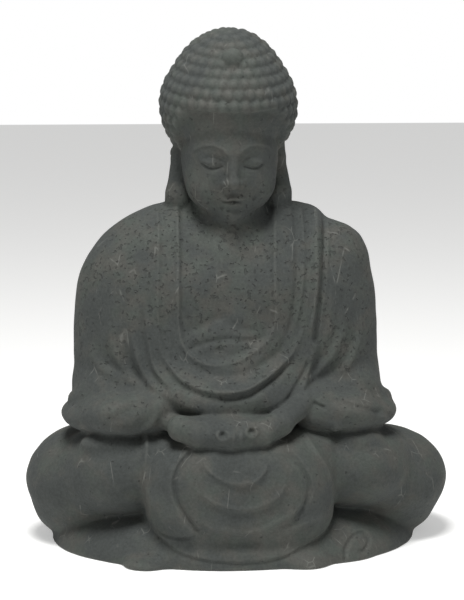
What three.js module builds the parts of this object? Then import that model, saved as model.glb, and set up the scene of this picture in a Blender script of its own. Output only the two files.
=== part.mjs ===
// A seated Buddha in meditation, carved from one block of dark, pitted stone.
// Millimetres, +Z up. The figure faces -Y, and the origin is under the middle of its base.
import * as THREE from "three";
import { SimplifyModifier } from "three/addons/modifiers/SimplifyModifier.js";

const { clamp, lerp, smoothstep, degToRad } = THREE.MathUtils;

// Driving sizes
const HEIGHT = 400; // ground to crown
const SHOULDER_SPAN = 237;
const TORSO_X = -7.5; // the torso sits a little to one side of the knees' middle
const HEAD_X = -6;
const LAP_X = -6; // arms and hands
const HEAD_BOW = 12; // degrees, the face bowed forward
const NAPE_Z = 285; // height about which the head is bowed
const FACE_THIRD = 29; // hairline to brow, brow to nose, nose to chin
const EYE_WIDTH = 14; // a fifth of the face
const CURL_PITCH = 8.4;
const CURL_HEIGHT = 3.4;
const TRIANGLES = 9600;

// Solid forms. Each returns the rough distance from a point to its surface, below zero inside.

function ellipsoid([cx, cy, cz], [rx, ry, rz]) {
  return (x, y, z) => {
    const u = (x - cx) / rx;
    const v = (y - cy) / ry;
    const w = (z - cz) / rz;
    const near = Math.sqrt(u * u + v * v + w * w);
    const slope = Math.sqrt((u / rx) ** 2 + (v / ry) ** 2 + (w / rz) ** 2);
    return slope < 1e-9 ? -Math.min(rx, ry, rz) : (near * (near - 1)) / slope;
  };
}

// Like an ellipsoid, with one roundness seen from the front and another seen from above.
function pillow([cx, cy, cz], [rx, ry, rz], frontPower, planPower) {
  return (x, y, z) => {
    const u = Math.abs(x - cx) / rx + 1e-9;
    const v = Math.abs(y - cy) / ry + 1e-9;
    const w = Math.abs(z - cz) / rz + 1e-9;
    const q = (u ** frontPower + w ** frontPower) ** (1 / frontPower);
    const rho = (q ** planPower + v ** planPower) ** (1 / planPower);
    const dq = (q / rho) ** (planPower - 1);
    const slope = Math.hypot(
      (dq * (u / q) ** (frontPower - 1)) / rx,
      (v / rho) ** (planPower - 1) / ry,
      (dq * (w / q) ** (frontPower - 1)) / rz,
    );
    return (rho - 1) / slope;
  };
}

function limb(from, to, fromRadius, toRadius) {
  const [ax, ay, az] = from;
  const [bx, by, bz] = to.map((v, i) => v - from[i]);
  const along = bx * bx + by * by + bz * bz;
  return (x, y, z) => {
    const px = x - ax;
    const py = y - ay;
    const pz = z - az;
    const t = clamp((px * bx + py * by + pz * bz) / along, 0, 1);
    return Math.hypot(px - t * bx, py - t * by, pz - t * bz) - lerp(fromRadius, toRadius, t);
  };
}

const bothSides = (form) => (x, y, z) => form(Math.abs(x), y, z);
const shifted = (form, dx) => (x, y, z) => form(x - dx, y, z);

function blend(a, b, soft) {
  const h = Math.max(soft - Math.abs(a - b), 0) / soft;
  return Math.min(a, b) - (h * h * soft) / 4;
}
const carve = (a, b, soft) => -blend(-a, b, soft);

// Joins forms, each given as [form, how softly it runs into the ones before it].
function joined(forms) {
  return (x, y, z) => forms.reduce((d, [form, soft]) => blend(d, form(x, y, z), soft), 1e3);
}

// Relief on the cloth, as a height over x and z seen from the front.

// Across a fold: a long slope up to the crest, then a short drop into a groove.
function crease(s, width, height) {
  const reach = s < 0 ? width : width * 0.45;
  const groove = Math.exp(-(((s - width * 0.8) / (width * 0.4)) ** 2));
  return height * (Math.exp(-((s / reach) ** 2)) - 0.5 * groove);
}

// A fold along a smooth line through [x, z] points, which fades out at both ends.
function fold(points, width, height) {
  const line = new THREE.SplineCurve(points.map((p) => new THREE.Vector2(...p))).getPoints(20);
  const box = new THREE.Box2().setFromPoints(line).expandByScalar(2.5 * width);
  const spot = new THREE.Vector2();
  return (x, z) => {
    if (!box.containsPoint(spot.set(x, z))) return 0;
    let near = 1e9;
    let side = 1;
    let at = 0;
    for (let i = 1; i < line.length; i++) {
      const a = line[i - 1];
      const bx = line[i].x - a.x;
      const bz = line[i].y - a.y;
      const px = x - a.x;
      const pz = z - a.y;
      const t = clamp((px * bx + pz * bz) / (bx * bx + bz * bz), 0, 1);
      const d = Math.hypot(px - t * bx, pz - t * bz);
      if (d < near) [near, side, at] = [d, Math.sign(bx * pz - bz * px), (i - 1 + t) / 20];
    }
    return crease(-side * near, width, height) * smoothstep(Math.min(at, 1 - at), -0.02, 0.2);
  };
}

// A line shaped like a U: its distance from [x, z], below zero inside the U.
function uLine(left, right, bottom, spring) {
  const middle = (left + right) / 2;
  const half = (right - left) / 2;
  const depth = spring - bottom;
  return (x, z) => {
    const u = Math.abs(x - middle) / half;
    const w = Math.max(spring - z, 0) / depth;
    return (Math.hypot(u, w) - 1) * (w > 0 ? Math.min(half, depth) : half);
  };
}

// The folds depend on x and z alone, so each pair is worked out once.
function remembered(relief) {
  const known = new Map();
  return (x, z) => {
    const key = x * 8192 + z;
    if (!known.has(key)) known.set(key, relief(x, z));
    return known.get(key);
  };
}
const sum = (reliefs) => (x, z) => reliefs.reduce((total, relief) => total + relief(x, z), 0);

// Torso, with both arms under the robe
const shoulder = SHOULDER_SPAN / 2;
const torsoForm = joined([
  [pillow([0, 8, 165], [shoulder, 60, 109], 2.6, 2.2), 1],
  [bothSides(limb([76, 4, 200], [86, 2, 124], 34, 31)), 10],
  [ellipsoid([0, 10, 226], [84, 42, 34]), 8],
  [ellipsoid([-3, -16, 142], [66, 42, 52]), 18],
  [bothSides(ellipsoid([27, -24, 206], [33, 26, 25])), 12],
]);

// Robe: an open front that hangs in nested loops from both shoulders
const neckline = uLine(-41, 29, 151, 186);
const collarEdge = uLine(-57, 50, 132, 182);
const belt = uLine(-66, 64, 112, 176);
function robeFront(x, z) {
  const inner = neckline(x, z);
  const outer = collarEdge(x, z);
  const low = belt(x, z);
  return (
    -3.4 * smoothstep(-inner, -1, 1.4) +
    -1.2 * smoothstep(-outer, -1, 2) +
    0.8 * Math.exp(-(((inner - 2) / 2.4) ** 2)) +
    crease(outer, 6, 2.2) * smoothstep(190 - z, 0, 20) +
    crease(-low, 7, 1.6) * smoothstep(170 - z, 0, 30)
  );
}
const torsoFolds = remembered(
  sum([
    robeFront,
    // chest and belly
    fold([[-38, 176], [-22, 184], [-7, 189], [8, 187], [26, 180]], 7, -1.4),
    fold([[-34, 163], [-18, 171], [0, 173], [22, 174]], 5, 1.2),
    // pleats that run down from the shoulder on the right
    fold([[46, 262], [46, 230], [46, 196], [42, 166]], 3.4, 1.4),
    fold([[53, 262], [53, 230], [53, 196], [50, 160]], 3.4, 1.4),
    fold([[66, 258], [67, 225], [66, 195], [62, 160]], 5, 2.6),
    // folds over the left arm
    fold([[-84, 196], [-82, 170], [-74, 146], [-64, 132]], 6, -2),
    fold([[-98, 192], [-97, 168], [-86, 142], [-68, 124]], 7, -2),
    fold([[-106, 166], [-98, 152], [-84, 142], [-70, 132]], 7, -2),
    // folds over the right arm
    fold([[82, 206], [81, 184], [70, 158], [50, 134]], 7, 2),
    fold([[94, 210], [94, 184], [86, 160], [66, 140]], 8, 2.2),
  ]),
);
const torso = (x, y, z) =>
  torsoForm(x, y, z) - torsoFolds(x, z) * smoothstep(-y, -20, 10);

// Sleeves round the forearms, with open cuffs above the lap
const sleeves = joined([
  [bothSides(limb([90, 2, 120], [92, -20, 113], 31, 29)), 1],
  [bothSides(limb([92, -20, 113], [50, -70, 111], 27, 17)), 10],
  [bothSides(ellipsoid([92, -16, 104], [37, 48, 15])), 8],
  [bothSides(ellipsoid([84, -58, 108], [30, 26, 15])), 8],
]);

// Hands laid one on the other in a shallow bowl, the first fingers standing up back to back
const hands = joined([
  [bothSides(limb([44, -70, 107], [24, -82, 103], 13, 12)), 1],
  [bothSides(limb([24, -82, 103], [0, -84, 101], 12, 11)), 4],
  [ellipsoid([0, -64, 100], [36, 24, 10]), 3],
  [bothSides(ellipsoid([5.5, -90, 107], [5.5, 6, 7])), 1],
  [bothSides(ellipsoid([15, -90, 104], [4.5, 5, 5])), 1],
]);

// Crossed legs under the robe, and the robe's skirt on the ground
const lapForm = joined([
  [ellipsoid([-116, -18, 49], [48.5, 62, 43]), 1],
  [ellipsoid([116, -18, 56], [48.5, 60, 34]), 1],
  [ellipsoid([112, -14, 32], [45, 62, 30]), 4],
  [limb([-106, -34, 58], [-30, -66, 64], 42, 30), 10],
  [limb([104, -34, 60], [30, -66, 66], 37, 30), 10],
  [ellipsoid([0, 34, 48], [112, 58, 54]), 24],
  [pillow([-6, -50, 52], [72, 55, 44], 2.6, 2.4), 8],
  [pillow([-1, -4, 14], [151, 102, 28], 2.2, 2.2), 8],
  [ellipsoid([-76, -82, 5], [20, 23, 12]), 8],
  [ellipsoid([46, -84, 5], [20, 23, 12]), 8],
]);
const disc = uLine(-52, 44, 26, 74);
const apron = uLine(-76, 65, 8, 60);
function lapFront(x, z) {
  const rings = [4, 16, 28].reduce((h, inset) => h + crease(-disc(x, z) - inset, 4, 1.1), 0);
  const above = smoothstep(94 - z, 0, 14);
  return (
    1.6 * smoothstep(-disc(x, z), -1.5, 1.5) + rings * above * smoothstep(80 - z, -8, 12) +
    2 * smoothstep(-apron(x, z), -1.5, 1.5)
  );
}
const lapFolds = remembered(
  sum([
    lapFront,
    fold([[-48, 84], [-54, 70], [-50, 44], [-38, 31]], 5, 1.6),
    fold([[-72, 60], [-66, 46], [-54, 36], [-38, 30]], 5, 1.4),
    fold([[56, 92], [62, 76], [64, 58], [62, 40]], 5, -1.4),
    fold([[-70, 34], [-64, 25], [-48, 22], [-38, 28]], 3, 1.4),
  ]),
);
const lap = (x, y, z) => lapForm(x, y, z) - lapFolds(x, z) * smoothstep(-y, 30, 60);

// Head, in its own upright frame: skull with its raised crown and nape, face
const hairline = 347;
const brow = hairline - FACE_THIRD;
const noseBase = brow - FACE_THIRD;
const chin = noseBase - FACE_THIRD;
const skullCentre = [0, 14, 339];
const skull = joined([
  [ellipsoid(skullCentre, [52, 54, 48]), 1],
  [ellipsoid([0, 16, 363.5], [37, 36, 33]), 8],
  [ellipsoid([0, 24, 298], [41, 32, 40]), 8],
]);
const face = joined([
  [ellipsoid([0, -4, 303], [2.5 * EYE_WIDTH, 40, 45]), 1],
  [ellipsoid([0, -28, chin + 9], [13, 13, 10]), 10],
]);
const nose = joined([
  [limb([0, -40, brow - 4], [0, -48, noseBase + 5], 2.6, 4), 1],
  [bothSides(ellipsoid([4.4, -44, noseBase + 3], [3.6, 4, 3.4])), 2],
]);
const eye = [EYE_WIDTH, -34.5, brow - 9];
const lips = joined([
  [ellipsoid([0, -41.5, noseBase - 8.4], [11, 4, 2.2]), 1],
  [ellipsoid([0, -40.5, noseBase - 13], [8.5, 4.4, 2.8]), 0.6],
]);
const ear = joined([
  [ellipsoid([39.5, 7, 304], [6, 12, 23]), 1],
  [limb([40, 7, 292], [42.5, 4, 268], 5, 6.5), 6],
]);

// Rows of curls that climb from the hairline to the crown
const onSkull = (turn, climb) => {
  const ray = [Math.cos(climb) * Math.sin(turn), -Math.cos(climb) * Math.cos(turn), Math.sin(climb)];
  let [low, high] = [20, 90];
  while (high - low > 0.01) {
    const mid = (low + high) / 2;
    if (skull(...ray.map((r, i) => skullCentre[i] + mid * r)) < 0) low = mid;
    else high = mid;
  }
  return ray.map((r, i) => skullCentre[i] + low * r);
};
const curls = [];
for (let climb = -1, row = 0; climb < 1.6; row++) {
  const [, , z] = onSkull(Math.PI / 2, climb);
  const waist = Math.abs(onSkull(Math.PI / 2, climb)[0]);
  const count = Math.max(1, Math.round((2 * Math.PI * waist * 1.03) / CURL_PITCH));
  for (let i = 0; i < count; i++) {
    const turn = ((i + (row % 2) / 2) * 2 * Math.PI) / count;
    const [x, y, zc] = onSkull(turn, climb);
    const ahead = smoothstep(-y, -10, 22);
    const lowest = lerp(276, lerp(322, hairline, smoothstep(-y, 8, 28)), ahead);
    if (zc > lowest) curls.push([x, y, zc]);
  }
  climb += CURL_PITCH / Math.hypot(waist, z - skullCentre[2]);
}
function hair(x, y, z) {
  let tuft = 0;
  for (const [cx, cy, cz] of curls) {
    const dz = z - cz;
    if (dz > CURL_PITCH || dz < -CURL_PITCH) continue;
    const d = Math.sqrt((x - cx) ** 2 + (y - cy) ** 2 + dz * dz);
    tuft = Math.max(tuft, 1 - d / (0.62 * CURL_PITCH));
  }
  return CURL_HEIGHT * tuft;
}
const jewel = ellipsoid([0, -15, 380], [9, 8, 9.5]);

function uprightHead(x, y, z) {
  const bare = skull(x, y, z);
  let d = bare > 12 ? bare : bare - hair(x, y, z);
  d = blend(d, face(x, y, z), 6);
  if (y < 0 && z < brow + 12) {
    const socket = bothSides(ellipsoid([eye[0], -44, eye[2] + 1], [9, 5, 5]))(x, y, z);
    d = carve(d, socket, 5);
    d = blend(d, bothSides(ellipsoid(eye, [EYE_WIDTH / 2, 4.5, 4.2]))(x, y, z), 1.5);
    d = blend(d, nose(x, y, z), 3);
    d = blend(d, lips(x, y, z), 1.5);
  }
  d = blend(d, bothSides(ear)(x, y, z), 2);
  return blend(d, jewel(x, y, z), 0.5);
}
const bow = [Math.cos(degToRad(HEAD_BOW)), Math.sin(degToRad(HEAD_BOW))];
function head(x, y, z) {
  const rise = z - NAPE_Z;
  return uprightHead(x, y * bow[0] + rise * bow[1], NAPE_Z - y * bow[1] + rise * bow[0]);
}
const neck = limb([0, 6, 235], [0, 0, 285], 33, 27);

const figure = joined([
  [shifted(torso, TORSO_X), 1],
  [shifted(sleeves, LAP_X), 6],
  [lap, 5],
  [shifted(hands, LAP_X), 2],
  [shifted(neck, HEAD_X), 8],
]);
const solid = (x, y, z) => {
  let d = figure(x, y, z);
  if (z > 235) d = blend(d, head(x - HEAD_X, y, z), 3);
  return Math.max(d, -z);
};

// Meshing: one vertex in each grid cell that the surface passes, at the mean of its crossings.

// Grid lines from a list of [start, step], which ends at the last start.
function gridLines(...spans) {
  const lines = [];
  spans.slice(1).forEach(([end], i) => {
    const [start, step] = spans[i];
    const count = Math.round((end - start) / step);
    for (let n = 0; n < count; n++) lines.push(lerp(start, end, n / count));
  });
  return [...lines, spans.at(-1)[0]];
}

function surface(field, xs, ys, zs) {
  const [nx, ny, nz] = [xs.length, ys.length, zs.length];
  const at = (i, j, k) => i + nx * (j + ny * k);
  const values = new Float32Array(nx * ny * nz);
  // A block whose middle is far from the surface takes the middle's value throughout.
  const block = 6;
  const far = 26;
  for (let k = 0; k < nz; k += block)
    for (let i = 0; i < nx; i += block)
      for (let j = 0; j < ny; j += block) {
        const [ie, je, ke] = [
          Math.min(i + block, nx),
          Math.min(j + block, ny),
          Math.min(k + block, nz),
        ];
        const middle = field(xs[(i + ie) >> 1], ys[(j + je) >> 1], zs[(k + ke) >> 1]);
        for (let c = k; c < ke; c++)
          for (let a = i; a < ie; a++)
            for (let b = j; b < je; b++)
              values[at(a, b, c)] = Math.abs(middle) > far ? middle : field(xs[a], ys[b], zs[c]);
      }
  const vertexOf = new Map();
  const positions = [];
  const corners = [0, 1, 2, 3, 4, 5, 6, 7].map((c) => [c & 1, (c >> 1) & 1, c >> 2]);
  const edges = corners.flatMap((c, n) =>
    [1, 2, 4].filter((bit) => !(n & bit)).map((bit) => [n, n | bit]),
  );
  for (let k = 0; k < nz - 1; k++)
    for (let j = 0; j < ny - 1; j++)
      for (let i = 0; i < nx - 1; i++) {
        const total = [0, 0, 0];
        let crossings = 0;
        for (const [a, b] of edges) {
          const [ai, aj, ak] = corners[a];
          const [bi, bj, bk] = corners[b];
          const va = values[at(i + ai, j + aj, k + ak)];
          const vb = values[at(i + bi, j + bj, k + bk)];
          if (va < 0 === vb < 0) continue;
          const t = va / (va - vb);
          total[0] += lerp(xs[i + ai], xs[i + bi], t);
          total[1] += lerp(ys[j + aj], ys[j + bj], t);
          total[2] += lerp(zs[k + ak], zs[k + bk], t);
          crossings++;
        }
        if (!crossings) continue;
        vertexOf.set(at(i, j, k), positions.length / 3);
        positions.push(...total.map((s) => s / crossings));
      }
  const triangles = [];
  const quad = (a, b, c, d) => {
    const [va, vb, vc, vd] = [a, b, c, d].map((n) => vertexOf.get(n));
    triangles.push(va, vb, vc, va, vc, vd);
  };
  for (let k = 1; k < nz - 1; k++)
    for (let j = 1; j < ny - 1; j++)
      for (let i = 1; i < nx - 1; i++) {
        const inside = values[at(i, j, k)] < 0;
        if (inside !== values[at(i + 1, j, k)] < 0) {
          const ring = [at(i, j - 1, k - 1), at(i, j, k - 1), at(i, j, k), at(i, j - 1, k)];
          quad(...(inside ? ring : ring.reverse()));
        }
        if (inside !== values[at(i, j + 1, k)] < 0) {
          const ring = [at(i - 1, j, k - 1), at(i - 1, j, k), at(i, j, k), at(i, j, k - 1)];
          quad(...(inside ? ring : ring.reverse()));
        }
        if (inside !== values[at(i, j, k + 1)] < 0) {
          const ring = [at(i - 1, j - 1, k), at(i, j - 1, k), at(i, j, k), at(i - 1, j, k)];
          quad(...(inside ? ring : ring.reverse()));
        }
      }
  return new THREE.BufferGeometry()
    .setAttribute("position", new THREE.Float32BufferAttribute(positions, 3))
    .setIndex(triangles);
}

const fine = surface(
  solid,
  gridLines([-170, 2.4], [-64, 1.6], [52, 2.4], [168]),
  gridLines([-114, 1.8], [0, 2.4], [110]),
  gridLines([-4, 2], [256, 1.6], [406]),
);
const surplus = fine.getAttribute("position").count - TRIANGLES / 2;
const geometry = await new SimplifyModifier().modify(fine, surplus);

// Scaled to its height, and set with the middle of its box over the origin
geometry.computeBoundingBox();
const box = geometry.boundingBox;
geometry.translate(-(box.min.x + box.max.x) / 2, -(box.min.y + box.max.y) / 2, -box.min.z);
geometry.scale(...Array(3).fill(HEIGHT / (box.max.z - box.min.z)));

const buddha = new THREE.Mesh(
  geometry,
  new THREE.MeshStandardMaterial({ color: 0x4a4c49, roughness: 0.9, metalness: 0 }),
);
buddha.name = "seated_buddha";

const group = new THREE.Group();
group.add(buddha);
export default group;
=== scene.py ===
import math
from functools import reduce

import bpy
import numpy as np
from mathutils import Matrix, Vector


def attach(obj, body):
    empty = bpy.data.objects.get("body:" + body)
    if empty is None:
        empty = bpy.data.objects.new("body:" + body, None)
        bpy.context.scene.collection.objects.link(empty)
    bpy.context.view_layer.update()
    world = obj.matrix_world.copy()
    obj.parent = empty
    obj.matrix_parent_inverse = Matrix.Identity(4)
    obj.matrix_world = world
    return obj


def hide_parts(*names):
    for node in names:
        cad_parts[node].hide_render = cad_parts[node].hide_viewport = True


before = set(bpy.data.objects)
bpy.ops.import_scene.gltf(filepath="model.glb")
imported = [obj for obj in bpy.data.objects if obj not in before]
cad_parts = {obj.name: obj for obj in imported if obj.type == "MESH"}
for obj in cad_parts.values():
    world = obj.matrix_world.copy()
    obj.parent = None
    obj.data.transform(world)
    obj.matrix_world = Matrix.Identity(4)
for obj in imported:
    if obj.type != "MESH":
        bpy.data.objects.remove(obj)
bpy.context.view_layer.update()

# The statue
# The figure is carved from a single block: head, robe, hands and lap run into one another.
# Its form is a distance field of soft solids, with the folds of the robe as relief on top, meshed at 1 to 1.3 mm.
HEIGHT = 400.0
SHOULDER_SPAN = 237.0
TORSO_X = -7.5
HEAD_X = -6.0
LAP_X = -6.0
HEAD_BOW = math.radians(12)
NAPE_Z = 285.0
FACE_THIRD = 29.0
EYE_WIDTH = 15.0
CURL_PITCH = 8.4
CURL_HEIGHT = 3.4
STEP = 1.2
STONE_TRIANGLES = 196000
FAR = 99.0


def spanning(form, low, high):
    """Notes the box in which a form lies, so that the rest of the grid can skip it."""
    form.low, form.high = np.array(low, float), np.array(high, float)
    return form


def ellipsoid(centre, radii):
    (cx, cy, cz), (rx, ry, rz) = centre, radii

    def form(x, y, z):
        u, v, w = (x - cx) / rx, (y - cy) / ry, (z - cz) / rz
        near = np.sqrt(u * u + v * v + w * w)
        slope = np.sqrt((u / rx) ** 2 + (v / ry) ** 2 + (w / rz) ** 2)
        return near * (near - 1) / np.maximum(slope, 1e-6)

    return spanning(form, np.subtract(centre, radii), np.add(centre, radii))


def pillow(centre, radii, front_power, plan_power, behind=None):
    """Like an ellipsoid, with one roundness seen from the front and another seen from above.
    It can have a depth of its own behind its centre."""
    (cx, cy, cz), (rx, ry, rz) = centre, radii
    n, m = front_power, plan_power

    def form(x, y, z):
        depth = np.where(y > cy, behind or ry, ry)
        u, v, w = (np.abs(p - c) / r + 1e-6 for p, c, r in ((x, cx, rx), (y, cy, depth), (z, cz, rz)))
        q = (u**n + w**n) ** (1 / n)
        rho = (q**m + v**m) ** (1 / m)
        dq = (q / rho) ** (m - 1)
        slope = np.sqrt(
            (dq * (u / q) ** (n - 1) / rx) ** 2
            + ((v / rho) ** (m - 1) / depth) ** 2
            + (dq * (w / q) ** (n - 1) / rz) ** 2
        )
        return (rho - 1) / slope

    reach = (rx, max(ry, behind or ry), rz)
    return spanning(form, np.subtract(centre, reach), np.add(centre, reach))


def limb(start, end, start_radius, end_radius):
    ax, ay, az = start
    bx, by, bz = (e - s for s, e in zip(start, end))
    along = bx * bx + by * by + bz * bz
    widest = max(start_radius, end_radius)

    def form(x, y, z):
        px, py, pz = x - ax, y - ay, z - az
        t = np.clip((px * bx + py * by + pz * bz) / along, 0, 1)
        d = np.sqrt((px - t * bx) ** 2 + (py - t * by) ** 2 + (pz - t * bz) ** 2)
        return d - (start_radius + (end_radius - start_radius) * t)

    return spanning(form, np.minimum(start, end) - widest, np.maximum(start, end) + widest)


def both_sides(form):
    high = np.maximum(form.high, -form.low * (1, 0, 0))
    return spanning(lambda x, y, z: form(np.abs(x), y, z), np.minimum(form.low, -high * (1, 0, 0)), high)


def shifted(form, dx):
    move = np.array([dx, 0, 0])
    return spanning(lambda x, y, z: form(x - dx, y, z), form.low + move, form.high + move)


def blend(a, b, soft):
    h = np.maximum(soft - np.abs(a - b), 0) / soft
    return np.minimum(a, b) - h * h * (soft / 4)


def carve(a, b, soft):
    return -blend(-a, b, soft)


REACH = 25.0
OTHERS = ((1, 2), (0, 2), (0, 1))


def joined(*forms):
    """Joins forms, each given with how softly it runs into the ones before it."""

    def form(x, y, z):
        if x.size == y.size == z.size == 1:
            return reduce(lambda total, f: blend(total, f[0](x, y, z), f[1]), forms, np.float32(FAR))
        total = np.full(np.broadcast(x, y, z).shape, FAR, np.float32)
        for part, soft in forms:
            near = [
                (line.min(axis=other) < top + REACH) & (line.max(axis=other) > bottom - REACH)
                for line, bottom, top, other in zip((x, y, z), part.low, part.high, OTHERS)
            ]
            if not all(n.any() for n in near):
                continue
            ends = [(n.argmax(), len(n) - n[::-1].argmax()) for n in near]
            box = tuple(slice(*e) for e in ends)
            here = [
                line[tuple(b if n > 1 else slice(None) for b, n in zip(box, line.shape))]
                for line in (x, y, z)
            ]
            total[box] = blend(total[box], part(*here), soft)
        return total

    return spanning(form, np.min([f.low for f, _ in forms], 0), np.max([f.high for f, _ in forms], 0))


def smoothstep(v, low, high):
    t = np.clip((v - low) / (high - low), 0, 1)
    return t * t * (3 - 2 * t)


def traced(points):
    """A smooth line through (x, z) points, seen from the front.
    It gives how far a place is from the line, above zero on the left of its travel, and how far along it is."""
    p = np.array([points[0], *points, points[-1]], float)
    line = []
    for a, b, c, d in zip(p, p[1:], p[2:], p[3:]):
        va, vb = (c - a) / 2, (d - b) / 2
        for t in np.arange(0, 1, 1 / 6):
            line.append(
                (2 * b - 2 * c + va + vb) * t**3 + (3 * c - 3 * b - 2 * va - vb) * t**2 + va * t + b
            )
    line = np.array([*line, p[-1]])

    def place(x, z):
        x, z = np.broadcast_arrays(x, z)
        near = np.full(x.shape, 1e9)
        side = np.ones(x.shape)
        along = np.zeros(x.shape)
        for i, (a, b) in enumerate(zip(line, line[1:])):
            bx, bz = b - a
            px, pz = x - a[0], z - a[1]
            t = np.clip((px * bx + pz * bz) / (bx * bx + bz * bz), 0, 1)
            d = np.hypot(px - t * bx, pz - t * bz)
            closer = d < near
            near = np.where(closer, d, near)
            side = np.where(closer, np.sign(bx * pz - bz * px), side)
            along = np.where(closer, (i + t) / (len(line) - 1), along)
        return side * near, along

    return place


def ends(along, start=0.2, end=0.2):
    """Fades a fold out at both ends of its line."""
    return smoothstep(along, -0.02, start) * smoothstep(1 - along, -0.02, end)


def crest(points, width, height, start=0.2, end=0.2):
    """A fold of cloth: a long slope up to the line from its left, then a short drop into a groove."""
    place = traced(points)

    def relief(x, z):
        s, along = place(x, z)
        reach = np.where(s > 0, width, width * 0.45)
        groove = np.exp(-(((s + width * 0.8) / (width * 0.4)) ** 2))
        return height * (np.exp(-((s / reach) ** 2)) - 0.5 * groove) * ends(along, start, end)

    return relief


def ridge(points, width, height, start=0.2, end=0.2):
    """An even rounded ridge along a line, or a groove where its height is below zero."""
    place = traced(points)

    def relief(x, z):
        s, along = place(x, z)
        return height * np.exp(-((s / width) ** 2)) * ends(along, start, end)

    return relief


def step(points, height, soft):
    """The whole area on the left of a line, raised by a height."""
    place = traced(points)
    return lambda x, z: height * smoothstep(place(x, z)[0], -soft, soft)


def dressed(form, reliefs, back, front):
    """A form with folds on its front: they fade in from one depth to another."""

    def distance(x, y, z):
        relief = sum(f(x[..., 0, :], z[..., 0, :]) for f in reliefs)[:, None]
        return form(x, y, z) - relief * smoothstep(-y, -back, -front)

    return spanning(distance, form.low, form.high)


# Torso, with both arms under the robe
shoulder = SHOULDER_SPAN / 2
torso_form = joined(
    (pillow((0, 8, 165), (shoulder, 60, 104), 2.6, 2.2), 1),
    (both_sides(limb((76, 4, 200), (86, 2, 124), 34, 31)), 10),
    (ellipsoid((0, 10, 226), (84, 42, 34)), 8),
    (ellipsoid((-3, -16, 142), (66, 42, 52)), 18),
    (both_sides(ellipsoid((27, -24, 200), (33, 26, 28))), 12),
    # the thickness of cloth laid over the shoulder on the right
    (limb((46, -8, 252), (64, 24, 250), 9, 11), 12),
    (ellipsoid((88, 4, 222), (22, 28, 25)), 10),
    # the belly under the robe, which hangs forward over the hands
    (ellipsoid((-3, -30, 121), (62, 46, 30)), 16),
)

# The robe's open front hangs from both shoulders in nested loops: neckline, collar, inner and outer hem
neckline = [
    (-38, 268), (-39, 237), (-40, 200), (-39, 172), (-34, 158), (-24, 151), (-13, 149),
    (1, 151), (12, 156), (25, 165), (32, 179), (32, 197), (32, 221), (35, 262),
]  # fmt: skip
collar = [
    (-54, 268), (-54, 245), (-55, 222), (-56, 197), (-55, 173), (-53, 155), (-42, 141), (-32, 135),
    (-19, 131), (-6, 130), (9, 132), (22, 138), (34, 145), (44, 153), (53, 170), (58, 196),
    (61, 223), (62, 262),
]  # fmt: skip
outer_hem = [
    (-75, 190), (-73, 172), (-72, 155), (-65, 139), (-57, 131), (-46, 124), (-27, 115), (0, 109),
    (18, 111), (34, 117), (51, 128), (57, 140), (63, 162), (66, 188), (70, 220), (74, 262),
]  # fmt: skip
torso_folds = [
    step(neckline, -2.6, 2),
    step(collar, -1.2, 2.5),
    ridge(neckline, 2.2, 1.4, 0.05, 0.05),
    ridge(collar, 2, 1.1, 0.05, 0.05),
    # the loops across the belly, each standing out over the one below
    ridge(
        [(-36, 150), (-26, 144), (-13, 140), (1, 140), (14, 143), (27, 150), (38, 159), (46, 180)],
        3.4,
        -1.6,
    ),
    crest(
        [(-54, 160), (-42, 141), (-32, 135), (-19, 131), (-6, 130), (9, 132), (22, 138), (34, 145), (46, 156)],
        7,
        2.2,
    ),
    ridge([(-14, 126), (-4, 125), (10, 127), (23, 133), (36, 141), (48, 152)], 2.6, -2),
    crest(outer_hem, 8, 2.2, 0.2, 0.02),
    crest([(-64, 190), (-64, 173), (-62, 158), (-58, 143), (-46, 130)], 5, 1.8),
    # breast, belly and navel
    ridge([(-40, 170), (-25, 175), (-8, 182), (1, 176), (15, 172), (29, 171)], 4, -1.4),
    ridge([(-36, 157), (-22, 163), (-5, 166), (14, 165), (30, 168)], 2.2, -1.4),
    lambda x, z: -1.6 * np.exp(-(((x + 10) / 3.5) ** 2) - ((z - 158) / 2.4) ** 2),
    # pleats that run down from the shoulder on the right, and the edge of the cloth laid over it
    ridge([(51, 262), (50, 221), (47, 188), (42, 166)], 1.8, -1.2, 0.02),
    ridge([(57, 262), (56, 227), (53, 196), (48, 172)], 1.8, 1.1, 0.02),
    ridge([(69, 262), (66, 236), (65, 207), (63, 187), (59, 165)], 2.4, 1.8, 0.02),
    ridge([(77, 262), (74, 244), (71, 220), (70, 207), (67, 188), (65, 171), (64, 160)], 2.2, -4.6, 0.02, 0.1),
    # folds over the arm on the right
    ridge([(77, 196), (74, 170), (68, 157), (60, 146), (50, 131)], 4, 1.4),
    ridge([(91, 204), (89, 176), (83, 160), (76, 148), (64, 137), (46, 124)], 3.8, 2.8, 0.5),
    ridge([(106, 206), (104, 174), (97, 151), (89, 140), (76, 133)], 4, 2.8, 0.5),
    ridge([(60, 150), (53, 137), (45, 126), (38, 116)], 2, -2),
    # folds over the arm on the left
    ridge([(-76, 185), (-75, 165), (-71, 145), (-65, 133), (-55, 127)], 3.2, 2.2, 0.5),
    ridge([(-92, 190), (-91, 164), (-86, 148), (-76, 135), (-66, 129)], 4, 2.8, 0.5),
    ridge([(-110, 162), (-102, 144), (-87, 136), (-72, 130)], 4, 2.8, 0.4),
]
torso = shifted(dressed(torso_form, torso_folds, 20, -10), TORSO_X)

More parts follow.
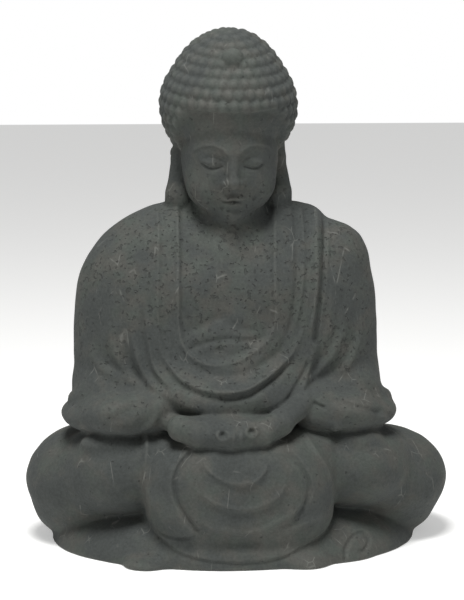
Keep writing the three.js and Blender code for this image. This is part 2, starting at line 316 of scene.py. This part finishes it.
# Sleeves round the forearms: on the left the cuff opens as a leaf, on the right it wraps the wrist
sleeve_form = joined(
    (both_sides(limb((90, 4, 120), (90, -16, 114), 31, 28)), 1),
    (both_sides(limb((90, -16, 114), (60, -52, 112), 27, 16)), 8),
    (both_sides(ellipsoid((94, -12, 104), (37, 46, 15))), 8),
    (pillow((-84, -40, 109), (32, 28, 16), 2.2, 2.4), 5),
    (pillow((80, -40, 109), (32, 28, 16), 2.2, 2.4), 5),
    # folds over the forearms
    (limb((-120, -18, 117), (-100, -30, 124), 5, 5), 6),
    (limb((-100, -30, 124), (-78, -40, 125), 5, 4), 4),
    (limb((-106, -42, 112), (-88, -50, 120), 4, 4), 5),
    (limb((-88, -50, 120), (-66, -56, 121), 4, 4), 4),
    (limb((122, -12, 114), (96, -36, 120), 5, 5), 6),
    (limb((96, -36, 120), (64, -52, 122), 5, 4), 4),
    (limb((54, -60, 122), (58, -64, 108), 4, 4), 4),
    (limb((58, -64, 108), (76, -63, 101), 4, 4), 3),
    (limb((76, -63, 101), (98, -52, 104), 4, 4), 3),
)
sleeve_folds = [
    ridge([(-112, 108), (-104, 102), (-90, 99), (-76, 97), (-64, 104), (-60, 114)], 2.4, 1.6, 0.2, 0.2),
    ridge([(-96, 106), (-86, 113), (-74, 117)], 4, -1.6),
    ridge([(53, 121), (60, 118), (69, 114)], 1.6, -2.4),
    ridge([(69, 121), (94, 114), (117, 106), (124, 101)], 2, -1.6),
]
sleeves = shifted(dressed(sleeve_form, sleeve_folds, 0, -30), LAP_X)

# Hands laid one on the other in a shallow bowl; each first finger stands up and closes a ring with its thumb
hands_form = joined(
    (limb((-49, -78, 103), (-36, -84, 99.5), 10, 10), 1),
    (limb((-36, -84, 99.5), (-11, -87, 97), 10, 9), 2),
    (limb((-11, -87, 97), (12, -85, 99.5), 9, 9.5), 2),
    (limb((12, -85, 99.5), (25, -78, 105), 9.5, 10.5), 2),
    (pillow((-12, -66, 103), (47, 26, 10), 2.2, 2.4), 3),
    (limb((28, -76, 107), (44, -62, 117), 9, 9), 4),
    (limb((-49, -70, 104), (-66, -52, 108), 7, 8), 4),
)
slot = joined(
    (limb((-28, -94, 106), (-11, -96, 107.5), 1.8, 2.2), 1),
    (limb((-11, -96, 107.5), (8, -93, 109), 2.2, 1.6), 1),
)
ring_holes = joined(
    (ellipsoid((-18.5, -97, 101.5), (1.9, 4, 1.7)), 1),
    (ellipsoid((3, -96, 103.5), (1.9, 4, 1.7)), 1),
)


def fingers(x, z):
    """The rings that thumbs and first fingers close, and the fingers' backs between them."""
    rings = sum(
        np.exp(-(((np.hypot(x - cx, z - cz) - 4) / 1.8) ** 2)) for cx, cz in ((-18.5, 101.5), (3, 103.5))
    )
    backs = sum(np.exp(-(((x - cx) / 2.6) ** 2) - ((z - 101) / 5) ** 2) for cx in (-11, -5))
    return 2.2 * rings + 2.6 * backs


hands_folded = dressed(hands_form, [fingers], -70, -82)
hands = spanning(
    lambda x, y, z: carve(carve(hands_folded(x, y, z), slot(x, y, z), 2), ring_holes(x, y, z), 1),
    hands_form.low,
    hands_form.high,
)

# Crossed legs under the robe, and the robe's skirt on the ground
lap_form = joined(
    (ellipsoid((-112, 14, 47), (53, 58, 43)), 1),
    (ellipsoid((117, 14, 45), (53, 58, 39)), 1),
    (limb((-106, -20, 59), (-40, -56, 68), 34, 27), 6),
    (limb((106, -20, 58), (40, -56, 70), 32, 27), 6),
    (pillow((-86, -26, 62), (46, 46, 33), 2.2, 2.2), 8),
    (pillow((86, -26, 63), (44, 46, 30), 2.2, 2.2), 8),
    (ellipsoid((0, 34, 48), (112, 58, 54)), 24),
    (ellipsoid((-118, 22, 24), (41, 52, 27)), 8),
    (ellipsoid((120, 22, 22), (41, 52, 27)), 8),
    (pillow((-2, 5, 0), (143, 111, 46), 2, 2, 93), 4),
    (pillow((-4, -52, 48), (72, 50, 48), 3, 3), 4),
    (ellipsoid((-74, -84, 2), (18, 17, 7)), 6),
    (ellipsoid((43, -89, 2), (20, 18, 7)), 6),
    (ellipsoid((70, -72, 2), (26, 16, 7)), 6),
    # small rolls of cloth between cuff and knee
    (ellipsoid((-100, -48, 87), (22, 13, 8)), 8),
    (ellipsoid((86, -50, 87), (20, 13, 8)), 8),
)
lap_edge = [
    (-74, 100), (-76, 73), (-76, 55), (-75, 40), (-70, 26), (-56, 14), (-36, 8), (-13, 6), (9, 6),
    (28, 9), (43, 15), (59, 22), (70, 32), (71, 46), (68, 63), (69, 76), (65, 100),
]  # fmt: skip
lap_folds = [
    step(lap_edge, 1.8, 2.5),
    ridge([(-73, 98), (-74, 85), (-76, 73), (-76, 60), (-75, 51)], 2.2, 1.8, 0.1, 0.2),
    # the roll of cloth down the left of the cushion-like middle, and the cloth end under it
    crest([(-74, 60), (-73, 50), (-65, 41), (-50, 33), (-36, 28)], 9, 1.6, 0.3, 0.1),
    ridge([(-40, 88), (-49, 79), (-54, 68), (-53, 55), (-47, 42), (-37, 29)], 2, -2.6, 0.1, 0.05),
    ridge([(-73, 34), (-67, 27), (-58, 24), (-47, 23.5), (-38, 28)], 1.8, -1.8, 0.1, 0.1),
    # nested loops
    ridge([(-34, 84), (-29, 76), (-19, 69), (-8, 66), (3, 67), (12, 75), (14, 84)], 1.7, 1.3),
    crest([(-34, 84), (-29, 76), (-19, 69), (-8, 66), (3, 67), (12, 75), (14, 84)], 7, 0.7),
    ridge([(-38, 62), (-28, 54), (-16, 49), (-5, 47), (8, 49), (23, 57), (29, 70)], 1.7, 1.3),
    crest([(-38, 62), (-28, 54), (-16, 49), (-5, 47), (8, 49), (23, 57), (29, 70)], 8, 0.8),
    ridge([(-40, 42), (-30, 34), (-19, 31), (-6, 29), (9, 31), (22, 37), (36, 45), (43, 58)], 1.8, 1.2),
    crest([(-40, 42), (-30, 34), (-19, 31), (-6, 29), (9, 31), (22, 37), (36, 45), (43, 58)], 8, 1),
    ridge([(27, 90), (39, 77), (46, 62), (42, 47), (32, 37)], 2, -2),
    ridge([(44, 98), (56, 82), (63, 69), (67, 56)], 2, 1.5),
    ridge(lap_edge, 1.6, -1.2, 0.3, 0.3),
    ridge([(24, 28), (42, 33), (60, 36)], 2.6, 1.4),
    ridge([(74, 1), (75, 9), (81, 15), (90, 17), (95, 12), (90, 6), (85, 8)], 1.5, -1.8, 0.05, 0.1),
    ridge([(-99, 10), (-95, 16), (-88, 17), (-84, 11)], 1.5, -0.9),
]
lap = dressed(lap_form, lap_folds, -30, -60)

# Head, in its own upright frame: skull with its raised crown and nape, face
HAIRLINE = 346.0
HAIR_DEPTH = 3.5
brow = HAIRLINE - FACE_THIRD
nose_base = brow - FACE_THIRD
chin = nose_base - FACE_THIRD
skull_centre = (0, 14, 339)
skull = joined(
    (ellipsoid(skull_centre, (48.5, 50.5, 44.5)), 1),
    (ellipsoid((0, 16, 363), (34, 33, 30)), 8),
    (ellipsoid((0, 22, 291), (39, 29, 38)), 8),
)


def hair_edge(y):
    """How low the hair comes: to the hairline in front, down past the temples, and to the nape behind."""
    temple = 322 + (HAIRLINE - 322) * smoothstep(-y, 10, 30)
    return 278 + (temple - 278) * smoothstep(-y, -12, 16)


# Face in thirds from hairline to brow, nose base and chin, and five eyes wide
face = joined(
    (ellipsoid((0, -4, 305), (2.5 * EYE_WIDTH, 38, 46)), 1),
    (both_sides(ellipsoid((15, -21, 284), (17, 19, 17))), 12),
    (ellipsoid((0, -29, chin + 8.5), (11, 12, 9)), 10),
)
nose = joined(
    (limb((0, -38, brow - 1), (0, -44.5, nose_base + 6.5), 2.8, 3.4), 1),
    (ellipsoid((0, -44.2, nose_base + 4.8), (4.4, 4.8, 4.2)), 3),
    (both_sides(ellipsoid((4.9, -41, nose_base + 3.8), (3.2, 3.6, 2.9))), 2.5),
)
lips = joined(
    (both_sides(ellipsoid((3.6, -38.4, nose_base - 8.4), (6.4, 3.4, 2.4))), 1),
    (ellipsoid((0, -38, nose_base - 12.4), (6.6, 3.4, 2.7)), 1.2),
)
socket = both_sides(ellipsoid((EYE_WIDTH, -47, brow - 9), (11.5, 8, 7)))
eye = both_sides(ellipsoid((EYE_WIDTH, -31.6, brow - 10), (8.6, 7, 6)))


def mirrored(relief):
    return lambda x, z: relief(np.abs(x), z)


face_lines = [
    mirrored(
        ridge([(3, brow - 5), (7, brow + 1), (16, brow + 4), (26, brow + 1), (33, brow - 6)], 1.8, 1.2)
    ),
    mirrored(
        ridge([(7.5, brow - 11.6), (12, brow - 13.6), (18, brow - 13.6), (24, brow - 11)], 1, -1.3, 0.1, 0.1)
    ),
    mirrored(ridge([(6.5, brow - 8.6), (12, brow - 5.8), (18, brow - 5.8), (24, brow - 8.8)], 1, -0.6)),
    ridge(
        [
            (-9.5, nose_base - 9.8),
            (-4, nose_base - 10.6),
            (0, nose_base - 10.2),
            (4, nose_base - 10.6),
            (9.5, nose_base - 9.8),
        ],
        0.8,
        -0.9,
        0.1,
        0.1,
    ),
    ridge([(-6, nose_base - 17), (0, nose_base - 18), (6, nose_base - 17)], 2, -0.8),
]
ear = both_sides(
    joined(
        (limb((38, 4, 320), (39, 3, 300), 5, 5), 1),
        (limb((39, 3, 300), (40.5, -1, 274), 5, 8), 3),
        (ellipsoid((39.5, -4, 268), (10, 10, 15)), 3),
    )
)
ear_hollow = both_sides(ellipsoid((46, -4, 300), (3.4, 4, 10)))
jewel = ellipsoid((0, -14, 380), (9, 8, 9.5))


def on_skull(turn, climb):
    """Where a ray from the skull's centre leaves the hair."""
    ray = np.array(
        [
            math.cos(climb) * math.sin(turn),
            -math.cos(climb) * math.cos(turn),
            math.sin(climb),
        ]
    )
    low, high = 20.0, 90.0
    while high - low > 0.01:
        middle = (low + high) / 2
        point = [np.array([c + middle * r]) for c, r in zip(skull_centre, ray)]
        if skull(*point)[0] < HAIR_DEPTH:
            low = middle
        else:
            high = middle
    return np.array(skull_centre) + low * ray


# Rows of curls that climb from the hairline to the crown
curls = []
climb, row = -1.0, 0
while climb < 1.6:
    side = on_skull(math.pi / 2, climb)
    count = max(1, round(2 * math.pi * abs(side[0]) * 1.03 / CURL_PITCH))
    for i in range(count):
        spot = on_skull((i + (row % 2) / 2) * 2 * math.pi / count, climb)
        if spot[2] > hair_edge(spot[1]) + 1:
            curls.append(spot)
    climb += CURL_PITCH / math.hypot(side[0], side[2] - skull_centre[2])
    row += 1


def tufts(x, y, z):
    """How far the curls stand out of the hair, at points of a grid given in the head's own frame."""
    height = np.zeros(np.broadcast(x, y, z).shape, np.float32)
    reach = 0.62 * CURL_PITCH
    for cx, cy, cz in curls:
        near_x = np.flatnonzero(np.abs(x[:, 0, 0] - cx) < reach)
        if not len(near_x):
            continue
        i = slice(near_x[0], near_x[-1] + 1)
        flat = (np.abs(y[0] - cy) < reach) & (np.abs(z[0] - cz) < reach)
        rows = np.flatnonzero(flat.any(1))
        columns = np.flatnonzero(flat.any(0))
        if not len(rows):
            continue
        j, k = slice(rows[0], rows[-1] + 1), slice(columns[0], columns[-1] + 1)
        d = np.sqrt((x[i] - cx) ** 2 + (y[:, j, k] - cy) ** 2 + (z[:, j, k] - cz) ** 2)
        height[i, j, k] = np.maximum(height[i, j, k], 1 - d / reach)
    return CURL_HEIGHT * height


def head_distance(x, y, z):
    rise = z - NAPE_Z
    cos, sin = math.cos(HEAD_BOW), math.sin(HEAD_BOW)
    y, z = y * cos + rise * sin, NAPE_Z - y * sin + rise * cos
    # the face's lines are drawn on its front, so they follow its own x and z
    lines = sum(f(x, z) for f in face_lines) * smoothstep(-y, 18, 30)
    front = carve(face(x, y, z), socket(x, y, z), 6)
    front = blend(front, eye(x, y, z), 2)
    front = blend(front, nose(x, y, z), 3)
    front = blend(front, lips(x, y, z), 3) - lines
    hair = skull(x, y, z) - HAIR_DEPTH * smoothstep(z - hair_edge(y), -1.5, 1.5) - tufts(x, y, z)
    d = blend(hair, front, 1.5)
    d = blend(d, carve(ear(x, y, z), ear_hollow(x, y, z), 2), 1.5)
    return blend(d, jewel(x, y, z), 0.5)


neck = limb((0, 6, 235), (0, 0, 285), 33, 27)
body = joined(
    (torso, 1),
    (sleeves, 9),
    (lap, 4),
    (hands, 2),
    (shifted(neck, HEAD_X), 8),
)


def unevenness(x, y, z):
    """The shallow waves that a chisel and the weather leave all over the block."""
    broad = np.sin(x / 12 + z / 17) * np.cos(z / 13 - y / 16)
    chiselled = np.sin(x / 3.7 + 1.3 * np.sin(z / 11)) * np.sin(z / 4.3 + np.sin(x / 9)) * np.cos(y / 5.9)
    return 0.4 * broad + 0.28 * chiselled


# The field on a grid, a few heights at a time
def grid_line(*stops):
    """Grid places from one stop to the next, each pair of stops with its own step between."""
    parts = [
        np.linspace(a, b, round((b - a) / (STEP * pace)), endpoint=False)
        for a, pace, b in zip(stops[::2], stops[1::2], stops[2::2])
    ]
    return np.concatenate([*parts, [stops[-1]]]).astype(np.float32)


xs = grid_line(-174, 1.1, -64, 0.85, 52, 1.1, 176)
ys = grid_line(-118, 1, 112)
zs = grid_line(-3, 1, 255, 0.8, 408)
field = np.full((len(xs), len(ys), len(zs)), FAR, np.float32)
head_i = slice(*np.searchsorted(xs, (HEAD_X - 66, HEAD_X + 66)))
head_j = slice(*np.searchsorted(ys, (-76, 84)))
for k in range(0, len(zs), 12):
    ks = slice(k, k + 12)
    z = zs[None, None, ks]
    field[:, :, ks] = body(xs[:, None, None], ys[None, :, None], z)
    if z.max() > 235:
        near = field[head_i, head_j, ks]
        head = head_distance(xs[head_i, None, None] - HEAD_X, ys[None, head_j, None], z)
        field[head_i, head_j, ks] = blend(near, head, 3)
    field[:, :, ks] += unevenness(xs[:, None, None], ys[None, :, None], z)
field = np.maximum(field, -zs)

# A single grid point of air with stone on all six sides would be a bubble in the block, so it is filled
core = (slice(1, -1),) * 3
sealed = field[core] >= 0
for axis in range(3):
    for side in (slice(0, -2), slice(2, None)):
        beside = list(core)
        beside[axis] = side
        sealed &= field[tuple(beside)] < 0
field[core][sealed] = -0.1 * STEP


def surface(values, lines):
    """One vertex in each grid cell that the surface passes, at the mean of its crossings."""
    inside = values < 0
    corners = [(a, b, c) for a in (0, 1) for b in (0, 1) for c in (0, 1)]
    nx, ny, nz = (n - 1 for n in values.shape)
    count = sum(inside[a : a + nx, b : b + ny, c : c + nz].astype(np.int8) for a, b, c in corners)
    cells = np.nonzero((count > 0) & (count < 8))
    total = np.zeros((3, len(cells[0])))
    crossings = np.zeros(len(cells[0]))
    for corner in corners:
        for axis in range(3):
            if corner[axis]:
                continue
            a = [c + o for c, o in zip(cells, corner)]
            b = list(a)
            b[axis] = a[axis] + 1
            va, vb = values[tuple(a)], values[tuple(b)]
            crossed = (va < 0) != (vb < 0)
            t = np.where(crossed, va / np.where(crossed, va - vb, 1), 0)
            for n in range(3):
                start, end = lines[n][a[n]], lines[n][b[n]]
                total[n] += np.where(crossed, start + (end - start) * t, 0)
            crossings += crossed
    vertices = (total / crossings).T
    index = np.full((nx, ny, nz), -1, np.int32)
    index[cells] = np.arange(len(vertices))
    quads = []
    for axis in range(3):
        u, v = (axis + 1) % 3, (axis + 2) % 3
        first = [slice(1, -1)] * 3
        second = list(first)
        first[axis], second[axis] = slice(0, -1), slice(1, None)
        now, after = inside[tuple(first)], inside[tuple(second)]
        edge = np.array(np.nonzero(now != after))
        out = now[tuple(edge)]
        edge[u] += 1
        edge[v] += 1
        ring = []
        for du, dv in ((1, 1), (0, 1), (0, 0), (1, 0)):
            cell = edge.copy()
            cell[u] -= du
            cell[v] -= dv
            ring.append(index[tuple(cell)])
        quad = np.stack(ring, 1)
        quads.append(np.where(out[:, None], quad, quad[:, ::-1]))
    return vertices, np.concatenate(quads)


vertices, quads = surface(field, (xs, ys, zs))
low, high = vertices.min(0), vertices.max(0)
vertices -= ((low + high) / 2 * (1, 1, 0)) + low * (0, 0, 1)
vertices *= HEIGHT / (high[2] - low[2]) / 1000
mesh = bpy.data.meshes.new("buddha_stone")
mesh.from_pydata(vertices.tolist(), [], quads.tolist())
statue = bpy.data.objects.new("buddha_stone", mesh)
bpy.context.scene.collection.objects.link(statue)
if len(quads) * 2 > STONE_TRIANGLES:
    thinner = statue.modifiers.new("thinner", "DECIMATE")
    thinner.ratio = STONE_TRIANGLES / (len(quads) * 2)
    thinned = bpy.data.meshes.new_from_object(
        statue.evaluated_get(bpy.context.evaluated_depsgraph_get())
    )
    statue.modifiers.clear()
    statue.data = thinned
statue.data.shade_smooth()


def linear(hex_colour):
    """An sRGB colour such as #4a4c49, as the linear numbers that the shader takes."""
    parts = [int(hex_colour[i : i + 2], 16) / 255 for i in (1, 3, 5)]
    return (*(c / 12.92 if c < 0.04045 else ((c + 0.055) / 1.055) ** 2.4 for c in parts), 1)


def add(tree, kind, links=(), **settings):
    """Adds a shader node, sets its properties and inputs, and links sockets into its inputs."""
    node = tree.nodes.new("ShaderNode" + kind)
    for name, value in settings.items():
        if hasattr(node, name):
            setattr(node, name, value)
        else:
            node.inputs[name.replace("_", " ")].default_value = value
    for name, socket in dict(links).items():
        tree.links.new(socket, node.inputs[name])
    return node


# Dark volcanic stone, cut by hand and left unpolished: a dull grey with cloudy patches of green, brown
# and blue, a coarse crystalline grain, gas pits of 1 to 2 mm, painted shade darkening the hollows and pale worn
# edges.
# The real grain is about 0.5 mm; it is drawn at 2.2 mm, because a finer one is lost at this picture's size.
CLOUD_SIZE = 0.035
TINT_SIZE = 0.016
GRAIN_SIZE = 0.0022
PIT_SIZE = 0.0032
SCRATCH_SPACING = 0.014

stone = bpy.data.materials.new("volcanic_stone")
stone.use_nodes = True
tree = stone.node_tree
shader = tree.nodes["Principled BSDF"]
place = add(tree, "TexCoord").outputs["Object"]
height_up = add(tree, "SeparateXYZ", {"Vector": place}).outputs["Z"]
clouds = add(tree, "TexNoise", {"Vector": place}, Scale=1 / CLOUD_SIZE, Detail=3, Roughness=0.6)
tints = add(tree, "TexNoise", {"Vector": place}, Scale=1 / TINT_SIZE, Detail=2)
grain = add(tree, "TexNoise", {"Vector": place}, Scale=1 / GRAIN_SIZE, Detail=4, Roughness=0.7)
cloud = clouds.outputs[0]

grey_share = add(tree, "MapRange", {"Value": cloud}, From_Min=0.35, From_Max=0.65).outputs[0]
grey = add(tree, "MixRGB", {"Fac": grey_share}, Color1=linear("#3a3d39"), Color2=linear("#434641"))
tint_share = add(tree, "MapRange", {"Value": tints.outputs[0]}, From_Min=0.4, From_Max=0.6).outputs[0]
tint = add(tree, "MixRGB", {"Fac": tint_share}, Color1=linear("#3a4540"), Color2=linear("#4b4541"))
blue_share = add(tree, "MapRange", {"Value": cloud}, From_Min=0.55, From_Max=0.42).outputs[0]
blue = add(tree, "MixRGB", {"Fac": blue_share, "Color1": tint.outputs[0]}, Color2=linear("#3e4347"))
tinted = add(tree, "MixRGB", {"Color1": grey.outputs[0], "Color2": blue.outputs[0]}, Fac=0.25)
speckle = add(
    tree, "MapRange", {"Value": grain.outputs[0]}, From_Min=0.3, From_Max=0.7, To_Min=0.78, To_Max=1.22
)
grained = add(
    tree,
    "MixRGB",
    {"Color1": tinted.outputs[0], "Color2": speckle.outputs[0]},
    blend_type="MULTIPLY",
    Fac=1,
)

# Edges that hands and weather have rubbed pale, and painted shade that darkens the hollows
sharpness = add(tree, "NewGeometry").outputs["Pointiness"]
rubbed = add(tree, "MapRange", {"Value": sharpness}, From_Min=0.51, From_Max=0.6, To_Max=0.35)
worn = add(
    tree, "MixRGB", {"Fac": rubbed.outputs[0], "Color1": grained.outputs[0]}, Color2=linear("#7a7b75")
)
# painted shade: concave places (low pointiness) are darkened towards #2a2c2a, as if shadow lay in them
hollow_shade = add(tree, "MapRange", {"Value": sharpness}, From_Min=0.49, From_Max=0.4, To_Max=0.7)
shaded_hollows = add(
    tree, "MixRGB", {"Fac": hollow_shade.outputs[0], "Color1": worn.outputs[0]}, Color2=linear("#2a2c2a")
)

# Gas pits of uneven outline: dense on chest and arms, few on the legs and the head
pores = add(tree, "TexNoise", {"Vector": place}, Scale=1 / PIT_SIZE, Detail=1.5, Roughness=0.5)
above_lap = add(tree, "MapRange", {"Value": height_up}, From_Min=0.09, From_Max=0.15, To_Min=0.05)
below_neck = add(tree, "MapRange", {"Value": height_up}, From_Min=0.3, From_Max=0.27, To_Min=0.1)
on_body = add(
    tree, "Math", {0: above_lap.outputs[0], 1: below_neck.outputs[0]}, operation="MULTIPLY"
)
porous = add(tree, "MapRange", {"Value": cloud}, From_Min=0.35, From_Max=0.6, To_Min=0.35, To_Max=0.85)
density = add(tree, "Math", {0: on_body.outputs[0], 1: porous.outputs[0]}, operation="MULTIPLY")
depth_line = add(tree, "MapRange", {"Value": density.outputs[0]}, To_Min=0.28, To_Max=0.43)
sunk = add(tree, "Math", {0: depth_line.outputs[0], 1: pores.outputs[0]}, operation="SUBTRACT")
pit = add(tree, "MapRange", {"Value": sunk.outputs[0]}, From_Max=0.05)
pit_shade = add(tree, "MapRange", {"Value": pit.outputs[0]}, To_Max=0.45)
pitted = add(
    tree, "MixRGB", {"Fac": pit_shade.outputs[0], "Color1": shaded_hollows.outputs[0]}, Color2=linear("#232523")
)

# Pale scratches, long and thin, in a few patches
slant = add(tree, "Mapping", {"Vector": place}, Rotation=(0.4, 0.9, 0.3), Scale=(1, 1, 0.35))
breaks = add(
    tree,
    "TexVoronoi",
    {"Vector": slant.outputs[0]},
    feature="DISTANCE_TO_EDGE",
    Scale=1 / SCRATCH_SPACING,
)
thin_line = add(tree, "MapRange", {"Value": breaks.outputs[0]}, From_Min=0.03, From_Max=0.0)
few = add(tree, "MapRange", {"Value": tints.outputs[0]}, From_Min=0.58, From_Max=0.66, To_Max=0.4)
scratch = add(tree, "Math", {0: thin_line.outputs[0], 1: few.outputs[0]}, operation="MULTIPLY")
scratched = add(
    tree, "MixRGB", {"Fac": scratch.outputs[0], "Color1": pitted.outputs[0]}, Color2=linear("#80817c")
)
tree.links.new(scratched.outputs[0], shader.inputs["Base Color"])

dullness = add(tree, "MapRange", {"Value": cloud}, From_Min=0.35, From_Max=0.65, To_Min=0.96, To_Max=0.76)
tree.links.new(dullness.outputs[0], shader.inputs["Roughness"])
raised = add(tree, "Math", {0: grain.outputs[0]}, operation="MULTIPLY")
raised.inputs[1].default_value = 0.5
relief = add(tree, "Math", {0: raised.outputs[0], 1: pit.outputs[0]}, operation="SUBTRACT")
bump = add(tree, "Bump", {"Height": relief.outputs[0]}, Strength=0.9, Distance=0.0009)
tree.links.new(bump.outputs[0], shader.inputs["Normal"])
statue.data.materials.append(stone)
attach(statue, "root")
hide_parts("seated_buddha")

# Floor
floor_mesh = bpy.data.meshes.new("floor")
floor_mesh.from_pydata([(-6, -6, 0), (6, -6, 0), (6, 6, 0), (-6, 6, 0)], [], [(0, 1, 2, 3)])
floor = bpy.data.objects.new("floor", floor_mesh)
bpy.context.scene.collection.objects.link(floor)
floor_paint = bpy.data.materials.new("pale_floor")
floor_paint.use_nodes = True
floor_shader = floor_paint.node_tree.nodes["Principled BSDF"]
floor_shader.inputs["Base Color"].default_value = linear("#e6e6e4")
floor_shader.inputs["Emission Color"].default_value = linear("#ffffff")
floor_shader.inputs["Emission Strength"].default_value = 0.38
floor_shader.inputs["Roughness"].default_value = 0.9
floor_mesh.materials.append(floor_paint)


# Lights: a wide soft box above and in front, and an even pale surround
def soft_box(name, place, aim, power, size):
    lamp = bpy.data.lights.new(name, "AREA")
    lamp.energy, lamp.size = power, size
    holder = bpy.data.objects.new(name, lamp)
    holder.location = place
    holder.rotation_euler = (Vector(aim) - Vector(place)).to_track_quat("-Z", "Y").to_euler()
    bpy.context.scene.collection.objects.link(holder)


soft_box("key", (-0.2, -0.52, 1.85), (0, 0, 0.2), 38, 0.6)
world = bpy.data.worlds.new("surround")
world.use_nodes = True
light_path = world.node_tree.nodes.new("ShaderNodeLightPath")
brightness = world.node_tree.nodes.new("ShaderNodeMapRange")
brightness.inputs["To Min"].default_value = 0.3
brightness.inputs["To Max"].default_value = 1.0
world.node_tree.links.new(light_path.outputs["Is Camera Ray"], brightness.inputs["Value"])
background = world.node_tree.nodes["Background"]
background.inputs["Color"].default_value = (1, 1, 1, 1)
world.node_tree.links.new(brightness.outputs["Result"], background.inputs["Strength"])
bpy.context.scene.world = world
bpy.context.scene.view_settings.view_transform = "Standard"

# Camera at the photograph's angle: 5 degrees to the left of the front and 8 above
AZIMUTH, ELEVATION = math.radians(-5), math.radians(8)
TARGET = Vector((-0.0058, -0.0012, 0.1895))
DISTANCE = 1.6
back = Vector(
    (
        math.sin(AZIMUTH) * math.cos(ELEVATION),
        -math.cos(AZIMUTH) * math.cos(ELEVATION),
        math.sin(ELEVATION),
    )
)
lens = bpy.data.cameras.new("camera")
lens.lens, lens.sensor_width = 123.39, 36
camera = bpy.data.objects.new("camera", lens)
camera.location = TARGET + back * DISTANCE
camera.rotation_euler = (-back).to_track_quat("-Z", "Y").to_euler()
bpy.context.scene.collection.objects.link(camera)
bpy.context.scene.camera = camera
